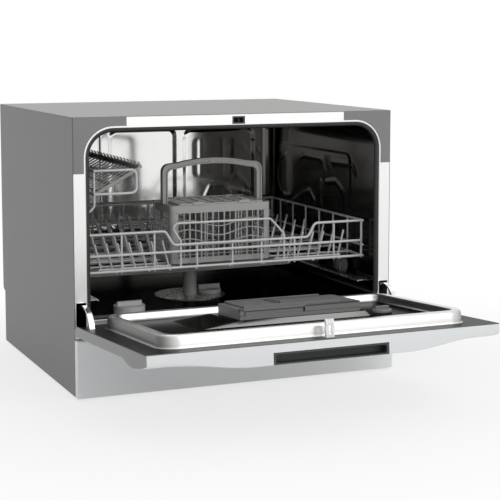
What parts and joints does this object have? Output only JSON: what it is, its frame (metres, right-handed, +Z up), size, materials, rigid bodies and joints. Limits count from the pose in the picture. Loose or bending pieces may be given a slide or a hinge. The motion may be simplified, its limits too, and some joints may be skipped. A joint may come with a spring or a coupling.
{
  "type": "countertop dishwasher",
  "caption": "Compact countertop dishwasher with a drop-down door, sliding wire rack on rollers, folding cup shelf and lidded cutlery basket.",
  "frame": {"origin": "middle of the footprint of the part with its door open, on the surface it stands on", "axes": "+X to the right seen from the front, +Y to the back, +Z up"},
  "size_m": [0.55, 0.8116, 0.438],
  "materials": {
    "painted_grey": "satin",
    "painted_top": "satin",
    "painted_light": "satin",
    "steel": "brushed",
    "corner_grey": "satin",
    "spring_steel": "plain",
    "arm_steel": "polished",
    "rubber_seal": "matte",
    "dark_plastic": "matte",
    "pump_grey": "matte",
    "light_plastic": "matte",
    "grey_plastic": "satin",
    "display_dark": "gloss",
    "board_green": "matte",
    "button_dark": "satin",
    "coated_wire": "satin"
  },
  "bodies": {
    "cabinet": {"side_panel_left": "painted_grey", "side_panel_right": "painted_grey", "top_panel": "painted_top", "back_panel": "painted_grey", "base_pan": "dark_plastic", "feet": "dark_plastic", "kick_plate": "painted_light", "front_frame": "steel", "corner_plates": "corner_grey", "latch_striker": "dark_plastic", "tub_shell": "steel", "tub_floor": "steel", "door_seal": "rubber_seal", "basket_rails": "steel", "hinge_brackets": "spring_steel", "hinge_springs": "spring_steel", "sump": "dark_plastic", "wash_pump": "pump_grey", "drain_pump": "pump_grey", "water_softener": "light_plastic", "inlet_valve": "light_plastic", "drain_spigot": "dark_plastic", "cable_gland": "dark_plastic", "coarse_filter": "steel", "spray_hub": "grey_plastic"},
    "door": {"door_panel": "painted_light", "control_panel": "painted_light", "grip_insert": "dark_plastic", "door_liner": "steel", "latch_hook": "light_plastic", "dispenser_body": "grey_plastic", "hinge_arms": "arm_steel", "display_window": "display_dark", "control_board": "board_green"},
    "rack": {"rack_front": "coated_wire", "rack_left": "coated_wire", "rack_right": "coated_wire", "rack_back": "coated_wire", "rack_floor": "coated_wire", "rack_tines": "coated_wire", "cup_rail": "coated_wire", "wheel_brackets": "grey_plastic"},
    "cutlery": {"cutlery_basket": "grey_plastic", "cutlery_handle": "grey_plastic"},
    "cutlery_cover": {"cutlery_lid": "grey_plastic"},
    "shelf": {"cup_shelf": "grey_plastic"},
    "filter": {"filter_cup": "grey_plastic"},
    "salt": {"salt_cap": "light_plastic"},
    "spray": {"spray_arm": "grey_plastic"},
    "detergent_cover": {"dispenser_lid": "grey_plastic"},
    "rinse": {"rinse_cap": "light_plastic"},
    "power_button": {"button_power": "button_dark"},
    "program_button": {"button_program": "button_dark"},
    "start_button": {"button_start": "button_dark"},
    "wheel_front_left_body": {"wheel_front_left": "grey_plastic"},
    "wheel_front_right_body": {"wheel_front_right": "grey_plastic"},
    "wheel_middle_left_body": {"wheel_middle_left": "grey_plastic"},
    "wheel_middle_right_body": {"wheel_middle_right": "grey_plastic"},
    "wheel_rear_left_body": {"wheel_rear_left": "grey_plastic"},
    "wheel_rear_right_body": {"wheel_rear_right": "grey_plastic"}
  },
  "joints": [
    {"name": "door_hinge", "type": "hinge", "parent": "cabinet", "child": "door", "pos_m": [0, -0.07519, 0.1075], "axis": [-1, 0, 0], "range_deg": [0, 86]},
    {"name": "rack_slide", "type": "slide", "parent": "cabinet", "child": "rack", "axis": [0, 1, 0], "range_m": [-0.315, 0]},
    {"name": "cup_shelf_fold", "type": "hinge", "parent": "rack", "child": "shelf", "pos_m": [-0.2295, 0.12381, 0.314], "axis": [0, -1, 0], "range_deg": [0, 52]},
    {"name": "cutlery_lift", "type": "slide", "parent": "rack", "child": "cutlery", "axis": [0, 0, -1], "range_m": [-0.05, 0]},
    {"name": "cutlery_lid_hinge", "type": "hinge", "parent": "cutlery", "child": "cutlery_cover", "pos_m": [0, 0.07581, 0.2898], "axis": [1, 0, 0], "range_deg": [-45, 0]},
    {"name": "dispenser_lid_slide", "type": "slide", "parent": "door", "child": "detergent_cover", "axis": [-1, 0, 0], "range_m": [-0.07, 0]},
    {"name": "rinse_cap_turn", "type": "hinge", "parent": "door", "child": "rinse", "pos_m": [0.162, -0.24954, 0.13723], "axis": [0, 0.0698, 0.9976], "range_deg": [-90, 0]},
    {"name": "filter_turn", "type": "hinge", "parent": "cabinet", "child": "filter", "pos_m": [0.036, 0.16081, 0.1], "axis": [0, 0, 1], "range_deg": [-60, 0]},
    {"name": "salt_cap_turn", "type": "hinge", "parent": "cabinet", "child": "salt", "pos_m": [-0.15, 0.04581, 0.11], "axis": [0, 0, 1], "range_deg": [-270, 0]},
    {"name": "spray_arm_spin", "type": "hinge", "parent": "cabinet", "child": "spray", "pos_m": [0, 0.16081, 0.155], "axis": [0, 0, 1], "continuous": true},
    {"name": "power_press", "type": "slide", "parent": "door", "child": "power_button", "axis": [0, 0.0698, 0.9976], "range_m": [0, 0.0015], "stiffness_N_per_m": 300},
    {"name": "program_press", "type": "slide", "parent": "door", "child": "program_button", "axis": [0, 0.0698, 0.9976], "range_m": [0, 0.0015], "stiffness_N_per_m": 300},
    {"name": "start_press", "type": "slide", "parent": "door", "child": "start_button", "axis": [0, 0.0698, 0.9976], "range_m": [0, 0.0015], "stiffness_N_per_m": 300},
    {"name": "wheel_front_left_spin", "type": "hinge", "parent": "rack", "child": "wheel_front_left_body", "pos_m": [-0.2396, 0.04381, 0.1648], "axis": [1, 0, 0], "range_deg": [0, 1229.8]},
    {"name": "wheel_front_right_spin", "type": "hinge", "parent": "rack", "child": "wheel_front_right_body", "pos_m": [0.2396, 0.04381, 0.1648], "axis": [1, 0, 0], "range_deg": [0, 1229.8]},
    {"name": "wheel_middle_left_spin", "type": "hinge", "parent": "rack", "child": "wheel_middle_left_body", "pos_m": [-0.2396, 0.15581, 0.1648], "axis": [1, 0, 0], "range_deg": [0, 1229.8]},
    {"name": "wheel_middle_right_spin", "type": "hinge", "parent": "rack", "child": "wheel_middle_right_body", "pos_m": [0.2396, 0.15581, 0.1648], "axis": [1, 0, 0], "range_deg": [0, 1229.8]},
    {"name": "wheel_rear_left_spin", "type": "hinge", "parent": "rack", "child": "wheel_rear_left_body", "pos_m": [-0.2396, 0.31181, 0.1648], "axis": [1, 0, 0], "range_deg": [0, 1229.8]},
    {"name": "wheel_rear_right_spin", "type": "hinge", "parent": "rack", "child": "wheel_rear_right_body", "pos_m": [0.2396, 0.31181, 0.1648], "axis": [1, 0, 0], "range_deg": [0, 1229.8]}
  ],
  "couplings": [
    {"joint": "wheel_front_left_spin", "follows": "rack_slide", "rad_per_m": -68.027},
    {"joint": "wheel_front_right_spin", "follows": "rack_slide", "rad_per_m": -68.027},
    {"joint": "wheel_middle_left_spin", "follows": "rack_slide", "rad_per_m": -68.027},
    {"joint": "wheel_middle_right_spin", "follows": "rack_slide", "rad_per_m": -68.027},
    {"joint": "wheel_rear_left_spin", "follows": "rack_slide", "rad_per_m": -68.027},
    {"joint": "wheel_rear_right_spin", "follows": "rack_slide", "rad_per_m": -68.027}
  ]
}
